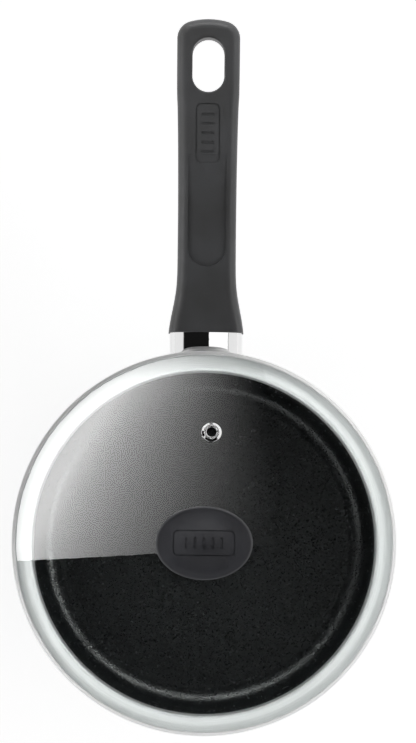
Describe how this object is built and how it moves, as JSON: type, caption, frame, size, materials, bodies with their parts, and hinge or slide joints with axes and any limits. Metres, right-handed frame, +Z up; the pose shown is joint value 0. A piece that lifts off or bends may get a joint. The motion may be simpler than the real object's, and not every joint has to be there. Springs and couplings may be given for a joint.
{
  "type": "saucepan with glass lid",
  "caption": "Round non-stick saucepan with a long waisted handle, steel flame guard and a domed glass lid with steel band, oval knob and steam vent.",
  "frame": {"origin": "centre of the underside of the base, on the hob", "axes": "+Z up through the lid's knob, +Y along the handle, +X to the right when looking along the handle"},
  "size_m": [0.19, 0.3547, 0.1408],
  "materials": {
    "cast_aluminium": "bright pressed aluminium, turned on the base and the rim",
    "nonstick": "black PTFE non-stick coating with a fine metallic speckle",
    "enamel": "anthracite porcelain enamel, semi-gloss",
    "disc_steel": "circular-brushed ferritic stainless steel",
    "boss_aluminium": "machined aluminium",
    "polished_steel": "mirror-polished stainless steel",
    "plated_steel": "bright zinc-plated steel",
    "grip_bakelite": "charcoal phenolic, finely grained and satin",
    "knob_bakelite": "charcoal phenolic, finely grained and satin",
    "lid_glass": "clear tempered soda-lime glass",
    "band_steel": "satin stainless steel with fine turned lines",
    "brass": "turned brass",
    "silicone": "black food-grade silicone, matt"
  },
  "bodies": {
    "pan": {"pan_body": "cast_aluminium", "nonstick_coating": "nonstick", "outer_enamel": "enamel", "induction_disc": "disc_steel", "handle_boss": "boss_aluminium", "flame_guard": "polished_steel", "key_plate": "plated_steel", "handle_grip": "grip_bakelite", "handle_bolt": "plated_steel", "bolt_washer": "plated_steel"},
    "lid": {"lid_glass": "lid_glass", "lid_band": "band_steel", "knob": "knob_bakelite", "knob_insert": "brass", "knob_seal_upper": "silicone", "knob_seal_lower": "silicone", "knob_washer": "polished_steel", "knob_screw": "polished_steel", "vent_eyelet": "polished_steel", "vent_seal": "silicone", "vent_washer": "polished_steel"}
  },
  "joints": [
    {"name": "lid_lift", "type": "slide", "parent": "pan", "child": "lid", "axis": [0, 0, 1], "range_m": [0, 0.15]}
  ]
}
